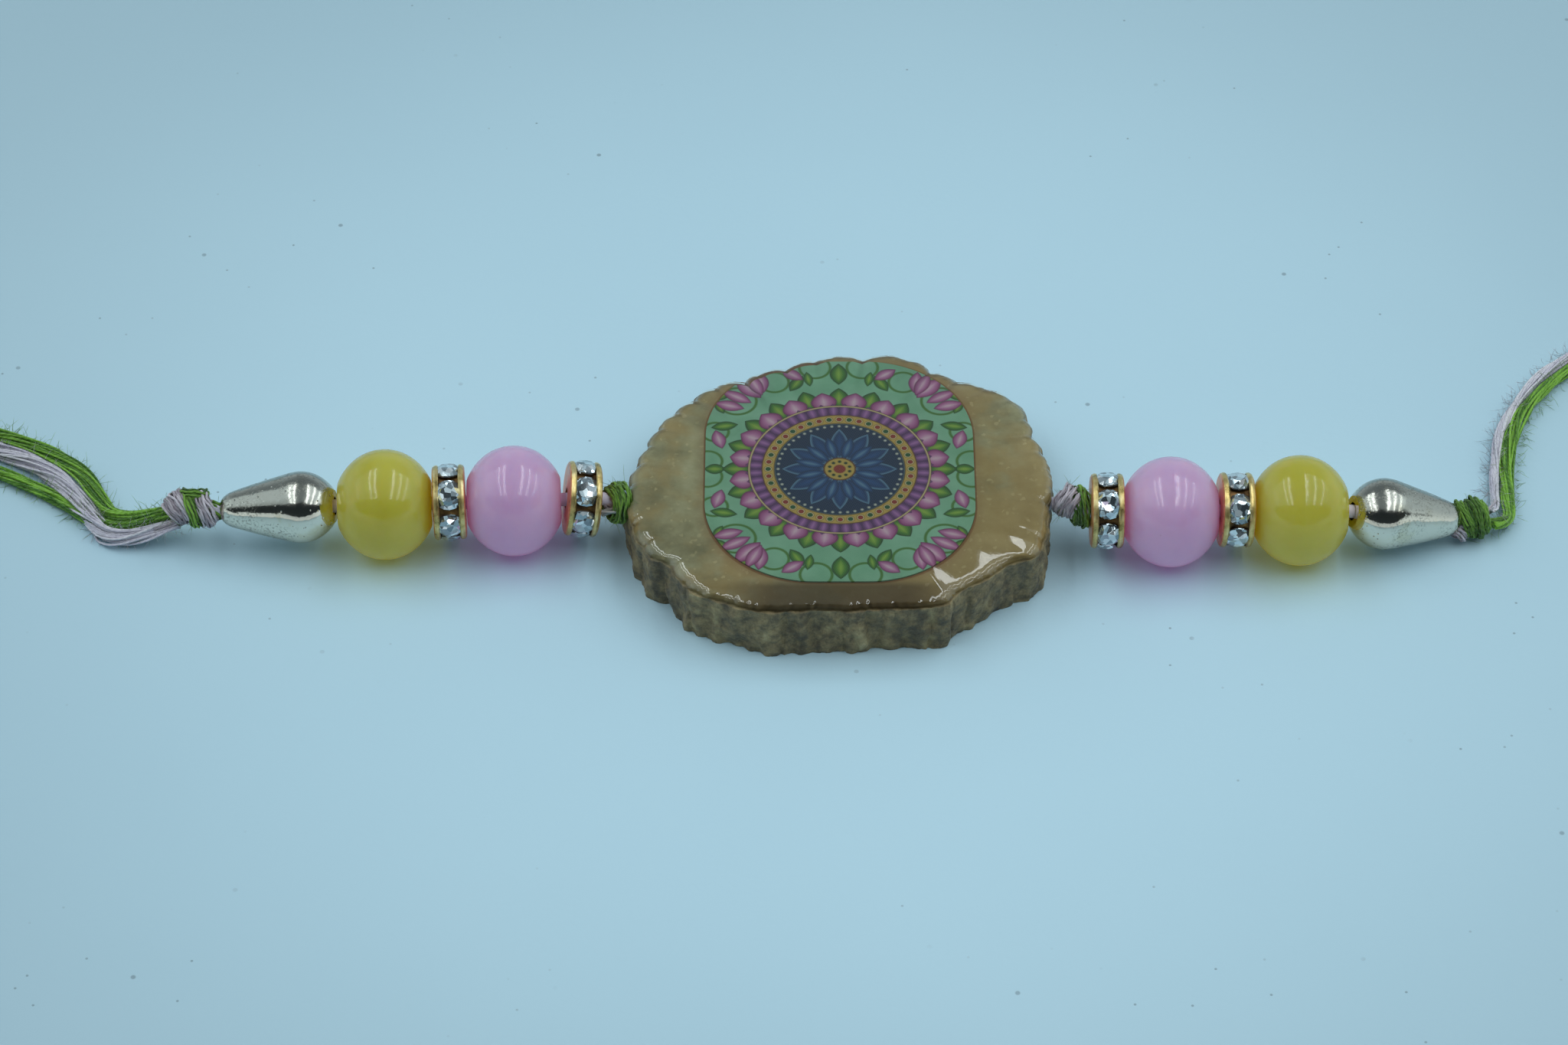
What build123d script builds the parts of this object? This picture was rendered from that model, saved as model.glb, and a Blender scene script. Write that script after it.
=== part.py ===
"""Rakhi thread bracelet: a printed stone slab between two rows of beads on tie threads.

Millimetres, +Z up. The origin is the centre of the slab's flat base, the string
runs along X, and the slab and the round beads rest on the plane z = 0.
"""
from build123d import *
from collections import namedtuple
from math import cos, pi, radians, sin, tan
import os

os.makedirs("parts", exist_ok=True)

# Centre stone and its printed, resin coated face
stone_width = 35.0         # between notches, which the scallops swell past a little
stone_depth = 30.4
stone_thickness = 5.1
wall_draft = 0.25          # the foot of the wall stands this far inside the shoulder
shoulder_drop = 0.5        # height of the worn edge under the top face
shoulder_inset = 0.3
scallop_depth = 0.55       # swell of the deepest scallop between two notches
bore_cover = 0.55          # stone left above the drilling
bore_forward = 1.5         # the drilling runs a little in front of the middle
resin_inset = 0.35
resin_edge_height = 0.5
resin_crown = 0.45         # extra height of the dome in the middle
resin_lean = 0.45          # the coat's edge leans in by this much
print_width = 0.634 * stone_width
print_depth = 0.852 * stone_depth
print_corner = 0.405 * print_width
print_back_shift = 1.1
print_rim = 0.9            # the print is trimmed to keep this far inside the slab's outline
print_sheet = 0.12
layer_gap = 0.03           # between slab, print and resin

# Thread and wraps
thread_diameter = 1.1
bore_clearance = 0.2
wrap_strand = 0.8          # thickness of one wrap of floss
wrap_gap = 0.06
row_lead = 0.35            # straight thread beside a bend
bore_bend_radius = 1.1
droop_bend_radius = 3.0

# Beads
bead_diameter = 9.1
bead_length = 7.7
bead_swell = 8.4           # length of the squat ball before its ends are cut flat
bead_round = 0.8           # rounding between the ball and its flat ends
teardrop_length = 9.4
teardrop_diameter = 5.9
rondelle_diameter = 6.14
rondelle_thickness = 2.66
rondelle_metal = 0.16
rondelle_slack = 0.1       # the wheels' bores are wider than the beads' by this much
rondelle_hub = 0.45        # wall of the tube round the bore
rim_round = 0.26           # the rim rounds off towards the wheel's face
rim_bevel = 0.1
stone_count = 6
cut_sides = 8
rhinestone_diameter = 2.35
rhinestone_height = 1.55
rhinestone_proud = 0.06    # the table stands out of the wheel's rim by this much
crown_share = 0.33         # of the stone's height
girdle_share = 0.08        # of the stone's height
table_share = 0.56         # of the stone's diameter
culet_share = 0.08         # of the stone's diameter
lip_share = 0.345          # half the slot between the rims, of the stone's diameter

# Tie threads and their ends
green_floss = 1.3
pink_floss = 1.2
arc_share = 0.45           # share of the shorter run that an arc may use
end_knot_diameter = 4.2
end_knot_length = 4.6
end_brush_length = 7.0
end_brush_diameter = 3.6
end_seat_gap = 0.3         # between a thread's slanting end and the knot over it

bore_radius = thread_diameter / 2 + bore_clearance
bore_height = stone_thickness - bore_cover - bore_radius
bead_radius = bead_diameter / 2
half_width = stone_width / 2
half_depth = stone_depth / 2

# What differs between the two sides of the bracelet
# row_forward is where its row starts, in front of the middle; row_swing turns the row, and
# droop and swing turn the teardrop with the knot past it. outer_gap is the clear thread
# between the teardrop and that knot.
Side = namedtuple("Side", "name sign row_forward row_swing droop swing outer_gap outer_wraps")
left = Side("left", -1, 1.56, -2.3, 5.0, 2.2, 0.18, ("pink", "green", "pink"))
right = Side("right", 1, 3.1, 0.0, 15.0, 9.0, 0.08, ("pink", "green", "green"))
sides = (left, right)

# Each piece of a row in turn: gap is the clear thread on its slab side, aside is how far it
# sits behind the thread's line, inside the slack of its bore
Seat = namedtuple("Seat", "piece thickness gap aside")
row_seats = {
    left: (
        Seat("inner_rondelle", rondelle_thickness, 2.35, 0.0), Seat("pink_bead", bead_length, 0.40, 0.0),
        Seat("outer_rondelle", rondelle_thickness, 0.12, 0.05), Seat("yellow_bead", bead_length, 0.10, 0.0),
    ),
    right: (
        Seat("inner_rondelle", rondelle_thickness, 3.03, 0.0), Seat("pink_bead", bead_length, 0.06, -0.12),
        Seat("outer_rondelle", rondelle_thickness, 0.12, 0.12), Seat("yellow_bead", bead_length, 0.12, 0.06),
    ),
}
teardrop_gap = 0.08

# Notches round the slab, anticlockwise from its right side. across and back are shares
# of the half width and half depth, bulge is the share of the scallop depth by which the
# edge swells out (or, below zero, is chipped in) on the way to the next notch.
Notch = namedtuple("Notch", "across back bulge")
notches = [
    Notch(1.000, -0.060, 0.3), Notch(0.990, 0.080, 0.5), Notch(0.955, 0.215, 0.6),
    Notch(0.915, 0.340, 0.6), Notch(0.895, 0.470, 0.8), Notch(0.825, 0.635, 0.5),
    Notch(0.720, 0.715, 0.5), Notch(0.570, 0.775, 0.6), Notch(0.440, 0.855, 0.7),
    Notch(0.340, 0.960, 1.0), Notch(0.120, 0.960, 1.0), Notch(-0.110, 0.950, 0.6),
    Notch(-0.260, 0.880, 0.6), Notch(-0.390, 0.840, 0.5), Notch(-0.450, 0.765, 0.9),
    Notch(-0.600, 0.725, 0.8), Notch(-0.695, 0.620, 0.7), Notch(-0.785, 0.520, 0.7),
    Notch(-0.860, 0.395, 0.6), Notch(-0.912, 0.250, 0.6), Notch(-0.950, 0.115, 0.6),
    Notch(-0.985, -0.040, 0.5), Notch(-0.990, -0.190, 0.5), Notch(-0.970, -0.345, 0.5),
    Notch(-0.925, -0.500, 0.4), Notch(-0.855, -0.605, -0.3), Notch(-0.785, -0.665, 0.3),
    Notch(-0.715, -0.795, 0.5), Notch(-0.585, -0.900, -0.2), Notch(-0.485, -0.950, 0.4),
    Notch(-0.260, -0.985, -0.2), Notch(0.025, -0.985, -0.2), Notch(0.310, -0.965, 0.3),
    Notch(0.495, -0.925, -0.3), Notch(0.580, -0.815, 0.3), Notch(0.750, -0.665, -0.3),
    Notch(0.890, -0.595, 0.5), Notch(0.945, -0.465, 0.4), Notch(0.970, -0.300, 0.3),
    Notch(0.975, -0.180, 0.3),
]

# Half section of the teardrop: along is the share of its length from the big end, out
# the share of its radius
Station = namedtuple("Station", "along out")
teardrop_stations = [
    Station(0.00, 0.44), Station(0.08, 0.73), Station(0.17, 0.91), Station(0.30, 1.00),
    Station(0.47, 0.90), Station(0.67, 0.73), Station(0.86, 0.55), Station(0.95, 0.44),
    Station(1.00, 0.30),
]

# Half sections of an end knot: shares of the knot's length and radius, then of the brush's
knot_stations = [
    Station(0.00, 0.86), Station(0.22, 0.98), Station(0.45, 1.00), Station(0.75, 0.88),
    Station(1.00, 0.50),
]
brush_stations = [Station(0.35, 0.75), Station(1.00, 1.00)]

# Routes of the tie threads, from the outer knot to the end knot
left_green_route = [
    (-54.5, -1.0, 2.95), (-57.5, -0.9, 1.6), (-60.4, -0.1, 0.7), (-61.7, 2.2, 0.7),
    (-63.2, 5.2, 0.7), (-66.4, 7.9, 0.7), (-70.9, 10.1, 0.7), (-76.7, 11.6, 0.7),
    (-84.2, 12.3, 0.7), (-91.8, 11.4, 0.7), (-99.2, 9.3, 0.7), (-105.9, 8.2, 0.8),
    (-111.1, 8.5, 1.7),
]
left_pink_route = [
    (-54.5, -2.0, 2.0), (-57.4, -2.5, 1.2), (-60.3, -2.4, 0.65), (-62.0, -0.4, 0.65),
    (-63.6, 2.4, 0.65), (-66.1, 5.6, 0.65), (-70.6, 8.1, 0.65), (-76.5, 9.9, 0.65),
    (-84.1, 10.6, 0.65), (-91.5, 9.7, 0.65), (-98.8, 7.6, 0.65), (-105.7, 6.5, 0.75),
    (-111.1, 6.9, 1.7),
]
right_green_route = [
    (54.05, -1.7, 1.5), (55.6, -0.9, 0.9), (56.0, 2.3, 0.7), (56.3, 5.8, 0.7),
    (57.1, 9.8, 0.7), (58.8, 13.5, 0.7), (63.0, 18.3, 0.7), (69.3, 21.7, 0.7),
    (76.8, 22.6, 0.7), (84.2, 20.6, 0.7), (91.7, 16.9, 0.7), (99.6, 15.0, 0.7),
    (106.3, 15.8, 0.8), (111.3, 17.0, 1.7),
]
right_pink_route = [
    (54.1, -0.5, 2.1), (54.5, 0.7, 1.1), (54.6, 3.4, 0.65), (55.0, 6.8, 0.65),
    (55.9, 10.5, 0.65), (57.7, 14.4, 0.65), (62.0, 19.5, 0.65), (68.5, 23.3, 0.65),
    (76.6, 24.3, 0.65), (84.7, 22.2, 0.65), (92.2, 18.5, 0.65), (99.6, 16.7, 0.65),
    (106.1, 17.4, 0.75), (111.2, 18.6, 1.7),
]


def save(piece, name):
    """Label one finished piece and write it under its own name."""
    piece.label = name
    export_step(piece, f"parts/{name}.step")


def stone_face(inset):
    """The slab's notched outline, moved in by a fixed amount, as a flat face."""
    corners = [
        Vector(notch.across * (half_width - inset), notch.back * (half_depth - inset))
        for notch in notches
    ]
    with BuildSketch() as outline:
        with BuildLine():
            for notch, start, end in zip(notches, corners, corners[1:] + corners[:1]):
                outward = (end - start).normalized().rotate(Axis.Z, -90)
                crest = (start + end) / 2 + outward * notch.bulge * scallop_depth
                ThreePointArc(start, crest, end)
        make_face()
    return outline.sketch


def string_plane(side, origin, droop=0.0, swing=0.0, spin=0.0):
    """A plane at a bead's centre whose x axis points out along the string.

    droop lowers the outer end, swing turns it to the back, spin rolls the bead.
    """
    plan = cos(radians(droop))
    along = Vector(
        side.sign * plan * cos(radians(swing)), plan * sin(radians(swing)), -sin(radians(droop))
    )
    across = Vector(-along.Y, along.X, 0).rotate(Axis((0, 0, 0), along), spin)
    return Plane(origin, x_dir=along, z_dir=across)


def turned(plane, profile):
    """Turn a closed half section, drawn as (along, out) points, about the string."""
    with BuildPart() as body:
        with BuildSketch(plane):
            with BuildLine():
                Polyline(*profile, close=True)
            make_face()
        revolve(axis=Axis(plane.origin, plane.x_dir))
    return body.part


def row_seat(side, name):
    """Distance of a bead along its row from the slab's middle, and how far it sits aside."""
    reach = half_width
    for seat in row_seats[side]:
        centre = reach + seat.gap + seat.thickness / 2
        if seat.piece == name:
            return centre, seat.aside
        reach = centre + seat.thickness / 2
    return reach + teardrop_gap, 0.0


def row_point(side, distance, aside=0.0):
    """A point on the straight axis of the beads of one side, or a little behind it."""
    past_knot = distance - half_width
    back = -side.row_forward + past_knot * tan(radians(side.row_swing)) + aside
    return Vector(side.sign * distance, back, bead_radius)


def teardrop_plane(side):
    """At the big end of the teardrop, along which the outer knot lies too."""
    mouth_radius = teardrop_stations[0].out * teardrop_diameter / 2
    distance, aside = row_seat(side, "teardrop")
    mouth = string_plane(side, row_point(side, distance, aside), side.droop, side.swing)
    turn = mouth.x_dir.get_angle(string_plane(side, (0, 0, 0), 0, side.row_swing).x_dir)
    mouth_lift = mouth_radius * sin(radians(turn))
    return Plane(mouth.origin + mouth.x_dir * mouth_lift, x_dir=mouth.x_dir, z_dir=mouth.z_dir)


def knot_ends(side):
    """The bend at the slab's drilling and the bend in front of the first rondelle."""
    at_stone = Vector(side.sign * (half_width + row_lead), -bore_forward, bore_height)
    return at_stone, row_point(side, half_width + row_seats[side][0].gap - row_lead)


# Slab: a flared foot, a worn shoulder under the top face, and the cross drilling
with BuildPart() as centre_stone:
    for height, inset in (
        (0.0, wall_draft),
        (stone_thickness - shoulder_drop, 0.0),
        (stone_thickness, shoulder_inset),
    ):
        with BuildSketch(Plane.XY.offset(height)):
            add(stone_face(inset))
    loft(ruled=True)
    with BuildSketch(Plane.YZ):
        with Locations((-bore_forward, bore_height)):
            Circle(bore_radius)
    extrude(amount=half_width + scallop_depth, both=True, mode=Mode.SUBTRACT)
save(centre_stone.part, "centre_stone")


def print_face(clearance):
    """The print's outline grown by a clearance: big round corners, trimmed by the slab's edge."""
    with BuildSketch() as outline:
        with Locations((0, print_back_shift)):
            RectangleRounded(
                print_width + 2 * clearance, print_depth + 2 * clearance, print_corner + clearance
            )
        add(stone_face(print_rim - clearance), mode=Mode.INTERSECT)
    return outline.sketch


# Print: a thin sheet on the slab's top face
print_bottom = stone_thickness + layer_gap
with BuildPart() as print_panel:
    with BuildSketch(Plane.XY.offset(print_bottom)):
        add(print_face(0))
    extrude(amount=print_sheet)
save(print_panel.part, "print_panel")

# Resin: the slab's outline with leaning edges under a shallow dome, open below for the print
dome_rise = resin_edge_height + resin_crown
dome_radius = (half_width**2 + resin_crown**2) / (2 * resin_crown)
with BuildPart() as resin_coat:
    for height, inset in ((0.0, resin_inset), (dome_rise, resin_inset + resin_lean)):
        with BuildSketch(Plane.XY.offset(stone_thickness + layer_gap + height)):
            add(stone_face(inset))
    loft(ruled=True)
    with Locations((0, 0, stone_thickness + layer_gap + dome_rise - dome_radius)):
        Sphere(dome_radius, mode=Mode.INTERSECT)
    with BuildSketch(Plane.XY.offset(stone_thickness)):
        add(print_face(layer_gap))
    extrude(amount=print_bottom - stone_thickness + print_sheet + layer_gap, mode=Mode.SUBTRACT)
save(resin_coat.part, "resin_coat")


def round_bead(plane):
    """A squat ball with its ends cut flat and their edges rounded, drilled for the thread."""
    with BuildPart() as bead:
        with BuildSketch(plane) as section:
            Ellipse(bead_swell / 2, bead_radius)
            Rectangle(bead_length, bead_diameter, mode=Mode.INTERSECT)
            fillet(section.vertices(), bead_round)
            with Locations((0, -bead_radius + bore_radius)):
                Rectangle(bead_length, bead_diameter, mode=Mode.SUBTRACT)
        revolve(axis=Axis(plane.origin, plane.x_dir))
    return bead.part


def teardrop_bead(plane):
    """A teardrop with its big end at the plane's origin, drilled from end to end."""
    with BuildPart() as drop:
        with BuildSketch(plane):
            with BuildLine():
                points = [
                    (station.along * teardrop_length, station.out * teardrop_diameter / 2)
                    for station in teardrop_stations
                ]
                Spline(*points)
                Polyline(points[-1], (points[-1][0], bore_radius), (0, bore_radius), points[0])
            make_face()
        revolve(axis=Axis(plane.origin, plane.x_dir))
    return drop.part


# Radii of the wheel from its bore out: the stones' points stand clear of the hub
wheel_bore = bore_radius + rondelle_slack
hub_radius = wheel_bore + rondelle_hub
rim_radius = rondelle_diameter / 2
table_radius = rim_radius + rhinestone_proud
culet_radius = table_radius - rhinestone_height
girdle_top = table_radius - crown_share * rhinestone_height
girdle_bottom = girdle_top - girdle_share * rhinestone_height


def rondelle_body(plane):
    """Two flat plates on a drilled hub, with thick round rims that lean in over the stones."""
    outer = rondelle_thickness / 2
    inner = outer - rondelle_metal
    lip = lip_share * rhinestone_diameter
    half = [
        (0, wheel_bore), (outer, wheel_bore), (outer, rim_radius - rim_round),
        (outer - rim_round / 3, rim_radius - rim_round / 3), (outer - rim_round, rim_radius),
        (lip + rim_bevel, rim_radius), (lip, rim_radius - rim_bevel),
        (inner, girdle_top + rim_bevel), (inner, hub_radius + rondelle_metal),
        (inner - rondelle_metal, hub_radius), (0, hub_radius),
    ]
    mirrored = [(-along, out) for along, out in reversed(half[1:-1])]
    return turned(plane, half + mirrored)


def rhinestone(plane):
    """An eight sided cut stone: point, pavilion, girdle, crown and table.

    The plane stands on the wheel's axis and its normal points out through the table.
    """
    sections = (
        (culet_radius, culet_share), (girdle_bottom, 1), (girdle_top, 1), (table_radius, table_share),
    )
    with BuildPart() as gem:
        for height, share in sections:
            with BuildSketch(plane.offset(height)):
                RegularPolygon(share * rhinestone_diameter / 2, cut_sides, rotation=180 / cut_sides)
        loft(ruled=True)
    return gem.part


def wrap_ring(plane, ring_radius):
    """One turn of floss round the string, as a ring about the plane's x axis."""
    with BuildPart() as ring:
        with BuildSketch(plane):
            with Locations((0, ring_radius)):
                Circle(wrap_strand / 2)
        revolve(axis=Axis(plane.origin, plane.x_dir))
    return ring.part


# How each wheel is turned on the string: droop and swing tip it, spin sets its stones
Pose = namedtuple("Pose", "droop swing spin")
rondelle_poses = {
    ("left", "inner"): Pose(-9.0, -4.0, 28.0), ("left", "outer"): Pose(0.0, -3.6, 27.5),
    ("right", "inner"): Pose(0.0, 0.0, 33.5), ("right", "outer"): Pose(2.5, 1.8, 44.0),
}

for side in sides:
    for place in ("inner", "outer"):
        pose = rondelle_poses[side.name, place]
        centre = row_point(side, *row_seat(side, f"{place}_rondelle"))
        wheel = string_plane(side, centre, pose.droop, pose.swing)
        save(rondelle_body(wheel), f"{side.name}_{place}_rondelle")
        for number in range(stone_count):
            spin = pose.spin + number * 360 / stone_count
            spoke = string_plane(side, centre, pose.droop, pose.swing, spin)
            outward = Plane(centre, x_dir=spoke.x_dir, z_dir=spoke.y_dir)
            save(rhinestone(outward), f"{side.name}_{place}_rhinestone_{number + 1}")
    for colour in ("pink", "yellow"):
        centre = row_point(side, *row_seat(side, f"{colour}_bead"))
        save(round_bead(string_plane(side, centre, 0, side.row_swing)), f"{side.name}_{colour}_bead")
    save(teardrop_bead(teardrop_plane(side)), f"{side.name}_teardrop")


def inner_wraps(side, colours):
    """Two upright turns of floss, side by side round the sloping thread, slab side first."""
    at_stone, at_row = knot_ends(side)
    run = at_row - at_stone
    slope = run.get_angle(Vector(side.sign, 0, 0))
    clear_of_thread = (thread_diameter / 2 + wrap_gap) / cos(radians(slope))
    clear_of_slope = wrap_strand / 2 * tan(radians(slope))
    ring_radius = clear_of_thread + clear_of_slope + wrap_strand / 2
    spread = wrap_strand + wrap_gap
    for colour, step in zip(colours, (-spread / 2, spread / 2)):
        centre = at_stone + run * (0.5 + step / abs(run.X))
        save(wrap_ring(string_plane(side, centre), ring_radius), f"{side.name}_inner_{colour}_wrap")


inner_wraps(left, ("green", "pink"))
inner_wraps(right, ("pink", "green"))

# Wraps of the outer knots, one behind the other past the teardrop's tip
outer_ring_radius = thread_diameter / 2 + wrap_gap + wrap_strand / 2
for side in sides:
    drop = teardrop_plane(side)
    for number, colour in enumerate(side.outer_wraps):
        along = teardrop_length + side.outer_gap + wrap_strand / 2 + number * (wrap_strand + wrap_gap)
        centre = drop.origin + drop.x_dir * along
        ring = wrap_ring(Plane(centre, x_dir=drop.x_dir, z_dir=drop.z_dir), outer_ring_radius)
        save(ring, f"{side.name}_outer_{colour}_wrap_{number + 1}")


def thread_side(side):
    """Bends and end of the thread on one side, from the slab out through the teardrop."""
    at_stone, at_row = knot_ends(side)
    drop = teardrop_plane(side)
    wraps = len(side.outer_wraps) * (wrap_strand + wrap_gap)
    end = drop.origin + drop.x_dir * (teardrop_length + side.outer_gap + wraps)
    return [at_stone, at_row, drop.origin, end]


# Thread: along both rows of beads and down into the slab's drilling
with BuildPart() as stringing_thread:
    stops = list(reversed(thread_side(left))) + thread_side(right)
    bends = [droop_bend_radius, bore_bend_radius, bore_bend_radius]
    with BuildLine() as string_line:
        FilletPolyline(*stops, radius=bends + list(reversed(bends)))
    with BuildSketch(Plane(string_line.line @ 0, z_dir=string_line.line % 0)):
        Circle(thread_diameter / 2)
    sweep()
save(stringing_thread.part, "stringing_thread")


def floss_tube(name, route, diameter):
    """A round thread along straight runs joined by the largest arcs that they allow."""
    points = [Vector(*point) for point in route]
    radii = []
    for before, corner, after in zip(points, points[1:], points[2:]):
        run_in, run_out = corner - before, after - corner
        half_turn = radians(run_in.get_angle(run_out)) / 2
        radii.append(arc_share * min(run_in.length, run_out.length) / tan(half_turn))
    with BuildPart() as tube:
        with BuildLine() as line:
            FilletPolyline(*points, radius=radii)
        with BuildSketch(Plane(line.line @ 0, z_dir=line.line % 0)):
            Circle(diameter / 2)
        sweep()
    length = line.wire().length
    expected = length * pi * diameter**2 / 4
    print(name, "length", round(length, 1), "volume ratio", round(tube.part.volume / expected, 4),
          "radii", [round(radius, 1) for radius in radii])
    save(tube.part, name)


floss_tube("left_green_tail", left_green_route, green_floss)
floss_tube("left_pink_tail", left_pink_route, pink_floss)
floss_tube("right_green_tail", right_green_route, green_floss)
floss_tube("right_pink_tail", right_pink_route, pink_floss)


def end_knot(side, green_route, pink_route):
    """A round knot over both threads with a short frayed brush, lying on the table."""
    green_end, pink_end = Vector(*green_route[-1]), Vector(*pink_route[-1])
    start = (green_end + pink_end) / 2
    origin = Vector(start.X + side.sign * end_seat_gap, start.Y, end_knot_diameter / 2)
    total = end_knot_length + end_brush_length
    knot = [
        (station.along * end_knot_length, station.out * end_knot_diameter / 2)
        for station in knot_stations
    ]
    brush = [
        (end_knot_length + station.along * end_brush_length, station.out * end_brush_diameter / 2)
        for station in brush_stations
    ]
    profile = [(0, 0)] + knot + brush + [(total, 0)]
    save(turned(string_plane(side, origin), profile), f"{side.name}_end_knot")


end_knot(left, left_green_route, left_pink_route)
end_knot(right, right_green_route, right_pink_route)
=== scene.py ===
"""Looks of the rakhi thread bracelet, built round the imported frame. Metres, +Z up.

The slab, resin, cut stones with their settings, knots and floss are new pieces. The print, beads,
teardrops, wheels and the thread inside them are the frame's own nodes with a finish.
"""
import random
from collections import namedtuple
from math import cos, exp, pi, radians, sin, sqrt

import bmesh
import bpy
import numpy as np
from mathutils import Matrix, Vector, noise


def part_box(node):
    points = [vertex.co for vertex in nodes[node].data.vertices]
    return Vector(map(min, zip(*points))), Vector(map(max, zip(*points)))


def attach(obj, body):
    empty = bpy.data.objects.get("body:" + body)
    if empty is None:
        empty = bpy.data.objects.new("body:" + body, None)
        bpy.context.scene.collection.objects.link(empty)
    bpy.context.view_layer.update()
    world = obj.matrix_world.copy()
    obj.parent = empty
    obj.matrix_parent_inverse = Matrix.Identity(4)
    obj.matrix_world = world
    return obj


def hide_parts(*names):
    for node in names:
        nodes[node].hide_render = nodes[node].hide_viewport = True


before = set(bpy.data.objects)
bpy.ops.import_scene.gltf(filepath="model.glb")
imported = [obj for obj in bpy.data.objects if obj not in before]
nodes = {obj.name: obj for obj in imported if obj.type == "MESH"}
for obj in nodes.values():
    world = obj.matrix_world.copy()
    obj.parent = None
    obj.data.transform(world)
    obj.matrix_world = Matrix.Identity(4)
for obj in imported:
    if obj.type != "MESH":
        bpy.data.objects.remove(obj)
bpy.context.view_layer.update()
scene = bpy.context.scene
MM = 0.001
TURN = 2 * pi
random.seed(11)


def new_mesh(points, faces, smooth=True):
    made = bpy.data.meshes.new("mesh")
    made.from_pydata([tuple(p) for p in points], [], faces)
    made.polygons.foreach_set("use_smooth", [smooth] * len(faces))
    return made


# Camera, table and lights

PHOTO_WIDTH = 2048
FOCAL_PIXELS = 6360
CAMERA_PLACE = Vector((-4.591, -286.016, 286.12)) * MM
CAMERA_TILT = radians(45)
camera = bpy.data.objects.new("camera", bpy.data.cameras.new("camera"))
camera.data.sensor_width = 36
camera.data.lens = FOCAL_PIXELS / PHOTO_WIDTH * camera.data.sensor_width
camera.data.clip_start = 0.01
camera.location = CAMERA_PLACE
camera.rotation_euler = (CAMERA_TILT, 0, 0)
scene.collection.objects.link(camera)
scene.camera = camera
scene.view_settings.view_transform = "Standard"


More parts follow.
